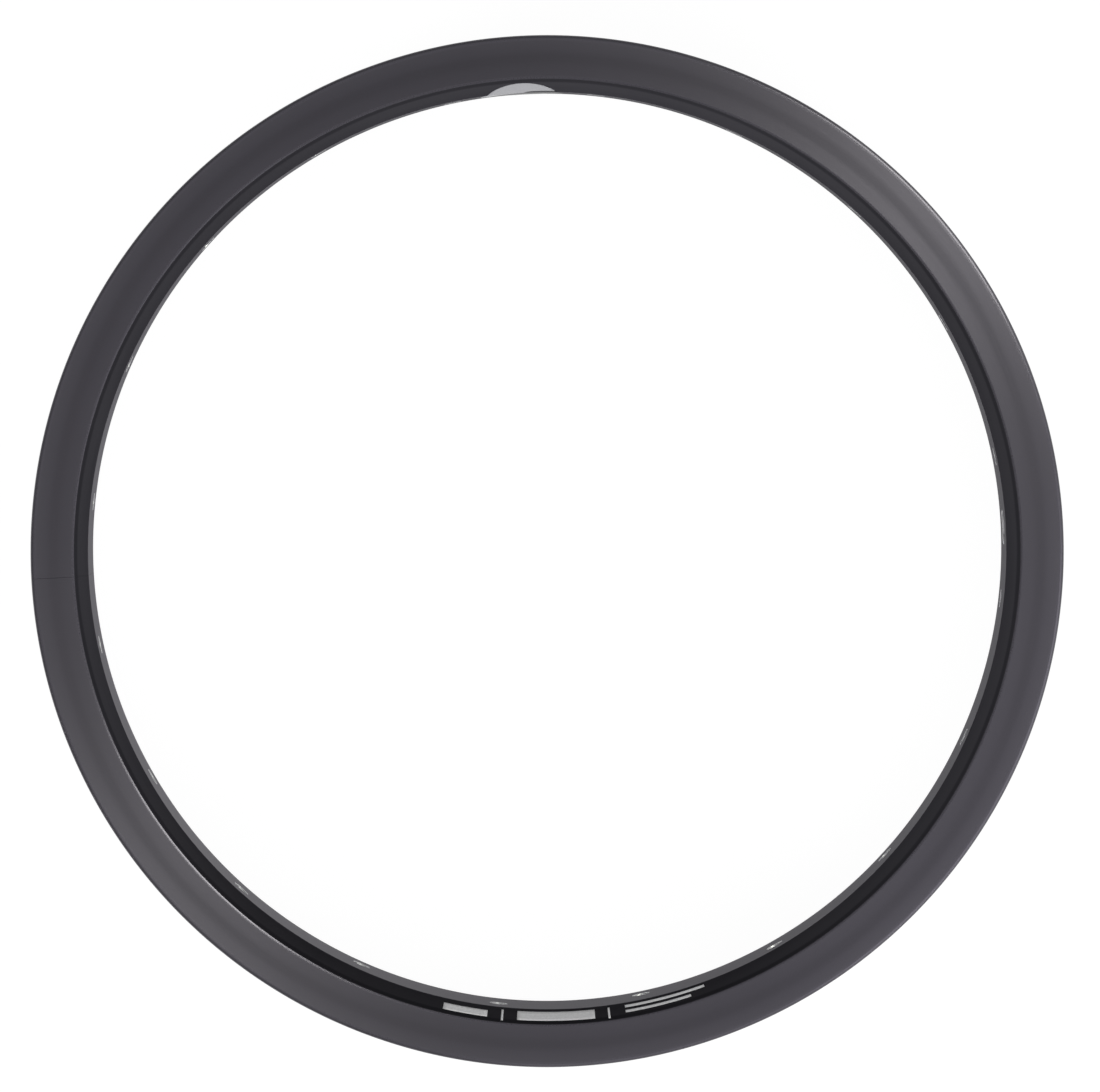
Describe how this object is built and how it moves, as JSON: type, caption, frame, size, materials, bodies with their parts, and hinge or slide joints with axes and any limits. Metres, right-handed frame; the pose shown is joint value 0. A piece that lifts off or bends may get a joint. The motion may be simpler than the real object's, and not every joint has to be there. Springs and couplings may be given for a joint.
{
  "type": "bicycle rim",
  "caption": "Small black hooked double-wall bicycle rim with staggered spoke holes and a valve hole, for a tyre and spokes.",
  "frame": {"origin": "on the axle line, at the level of the lower side face", "axes": "+Z along the axle line, +X towards the valve hole"},
  "size_m": [0.263, 0.263, 0.031],
  "materials": {
    "black_anodised": "satin",
    "bare_aluminium": "satin"
  },
  "bodies": {
    "root": {"rim_hoop": "black_anodised", "joint_sleeve": "bare_aluminium"}
  },
  "joints": []
}
